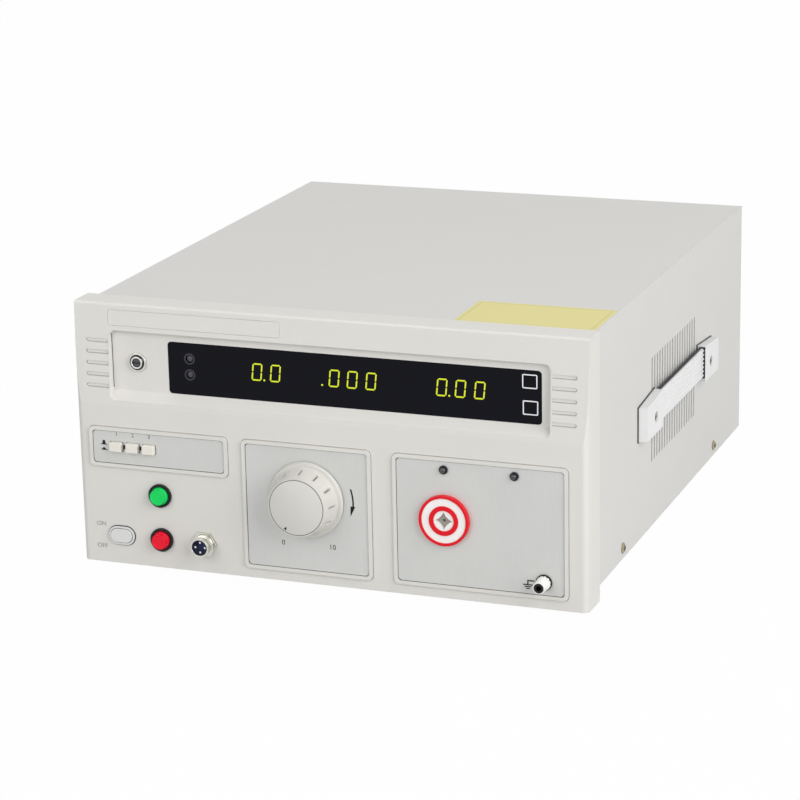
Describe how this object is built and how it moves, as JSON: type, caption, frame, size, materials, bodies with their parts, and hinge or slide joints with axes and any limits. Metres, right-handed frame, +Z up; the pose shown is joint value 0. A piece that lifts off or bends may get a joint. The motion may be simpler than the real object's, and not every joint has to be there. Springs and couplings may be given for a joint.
{
  "type": "withstand voltage tester",
  "caption": "Bench withstand-voltage tester with a moulded front, dark display window, voltage knob, push buttons, high-voltage and ground sockets, sheet-metal case and side handles.",
  "frame": {"origin": "on the table, under the middle of the whole instrument", "axes": "+X to the right seen from the front, +Y from the front to the rear, +Z up"},
  "size_m": [0.4166, 0.505, 0.2165],
  "materials": {
    "front_plastic": "fine-grained moulded plastic, warm light grey",
    "case_paint": "light grey powder coat on sheet steel",
    "pan_steel": "zinc-plated sheet steel",
    "foot_rubber": "black rubber",
    "screw_steel": "passivated steel screws",
    "window_dark": "smoked acrylic",
    "board_green": "solder-masked board",
    "digit_block": "dark display blocks",
    "led_grey": "unlit lamps",
    "strip_plastic": "blank inlaid strip",
    "bright_metal": "nickel-plated turned parts",
    "plate_grey": "blue-grey printed plate, blank",
    "key_cream": "cream keys",
    "switch_dark": "dark moulded switch bodies",
    "start_green": "green button",
    "reset_red": "red button",
    "power_grey": "pale grey rocker cap",
    "connector_metal": "plated connector shell",
    "insert_blue": "dark blue connector insert",
    "pin_brass": "gilt contacts",
    "white_insulator": "white insulator",
    "red_ring": "red rings",
    "contact_grey": "grey metal contact",
    "lamp_black": "black lamp holders",
    "lamp_red": "unlit red lamps",
    "knob_plastic": "light grey knob",
    "copper": "enamelled copper winding",
    "core_steel": "laminated core steel",
    "carbon": "brush arm",
    "winding_red": "taped windings",
    "parts_dark": "capacitors, relays and heat sink",
    "fan_black": "black fan",
    "wire_chrome": "plated wire guard",
    "handle_white": "white handle plastic",
    "label_film": "blank yellow film"
  },
  "bodies": {
    "case": {"front_bezel": "front_plastic", "top_cover": "case_paint", "chassis_base": "pan_steel", "front_subpanel": "pan_steel", "rear_panel": "case_paint", "feet": "foot_rubber", "case_screws": "screw_steel", "display_window": "window_dark", "display_board": "board_green", "timer_display": "digit_block", "current_display": "digit_block", "voltage_display": "digit_block", "status_leds": "led_grey", "name_strip": "strip_plastic", "preset_bush": "bright_metal", "range_plate": "plate_grey", "knob_plate": "plate_grey", "output_plate": "plate_grey", "range_switch": "switch_dark", "button_housings": "switch_dark", "power_switch": "switch_dark", "remote_connector": "connector_metal", "connector_insert": "insert_blue", "connector_pins": "pin_brass", "hv_insulator": "white_insulator", "hv_rings": "red_ring", "hv_contact": "contact_grey", "lamp_holders": "lamp_black", "lamp_lenses": "lamp_red", "ground_post": "bright_metal", "variac_core": "core_steel", "variac_winding": "copper", "variac_base": "pan_steel", "hv_core": "core_steel", "hv_windings": "winding_red", "hv_frame": "pan_steel", "main_board": "board_green", "board_parts": "parts_dark", "fan_frame": "fan_black", "fan_grille": "wire_chrome", "mains_inlet": "switch_dark", "inlet_pins": "pin_brass", "fuse_holder": "switch_dark", "handle_ends": "handle_white", "handle_straps": "handle_white", "top_label": "label_film"},
    "knob": {"voltage_knob": "knob_plastic", "knob_cap": "knob_plastic", "knob_shaft": "bright_metal", "brush_arm": "carbon"},
    "preset": {"preset_shaft": "bright_metal"},
    "start": {"start_button": "start_green"},
    "reset": {"reset_button": "reset_red"},
    "power": {"power_button": "power_grey"},
    "key_1": {"range_key_1": "key_cream"},
    "key_2": {"range_key_2": "key_cream"},
    "key_3": {"range_key_3": "key_cream"},
    "ground": {"ground_cap": "white_insulator"},
    "fan": {"fan_rotor": "fan_black"},
    "fuse": {"fuse_cap": "switch_dark"}
  },
  "joints": [
    {"name": "knob_turn", "type": "hinge", "parent": "case", "child": "knob", "pos_m": [-0.0155, -0.2305, 0.0765], "axis": [0, 1, 0], "range_deg": [0, 304]},
    {"name": "preset_turn", "type": "hinge", "parent": "case", "child": "preset", "pos_m": [-0.1545, -0.223, 0.171], "axis": [0, 1, 0], "range_deg": [0, 270]},
    {"name": "start_press", "type": "slide", "parent": "case", "child": "start", "axis": [0, 1, 0], "range_m": [0, 0.003], "stiffness_N_per_m": 400, "springref_m": -0.002},
    {"name": "reset_press", "type": "slide", "parent": "case", "child": "reset", "axis": [0, 1, 0], "range_m": [0, 0.003], "stiffness_N_per_m": 400, "springref_m": -0.002},
    {"name": "power_press", "type": "slide", "parent": "case", "child": "power", "axis": [0, 1, 0], "range_m": [0, 0.0025], "stiffness_N_per_m": 500, "springref_m": -0.002},
    {"name": "key_1_press", "type": "slide", "parent": "case", "child": "key_1", "axis": [0, 1, 0], "range_m": [0, 0.0025], "stiffness_N_per_m": 400, "springref_m": -0.002},
    {"name": "key_2_press", "type": "slide", "parent": "case", "child": "key_2", "axis": [0, 1, 0], "range_m": [0, 0.0025], "stiffness_N_per_m": 400, "springref_m": -0.002},
    {"name": "key_3_press", "type": "slide", "parent": "case", "child": "key_3", "axis": [0, 1, 0], "range_m": [0, 0.0025], "stiffness_N_per_m": 400, "springref_m": -0.002},
    {"name": "ground_cap_turn", "type": "hinge", "parent": "case", "child": "ground", "pos_m": [0.1713, -0.2385, 0.0305], "axis": [0, -1, 0], "range_deg": [0, 720]},
    {"name": "fan_spin", "type": "hinge", "parent": "case", "child": "fan", "pos_m": [-0.11, 0.2295, 0.1145], "axis": [0, 1, 0], "continuous": true},
    {"name": "fuse_cap_turn", "type": "hinge", "parent": "case", "child": "fuse", "pos_m": [0.168, 0.2475, 0.0545], "axis": [0, 1, 0], "range_deg": [0, 60]}
  ]
}
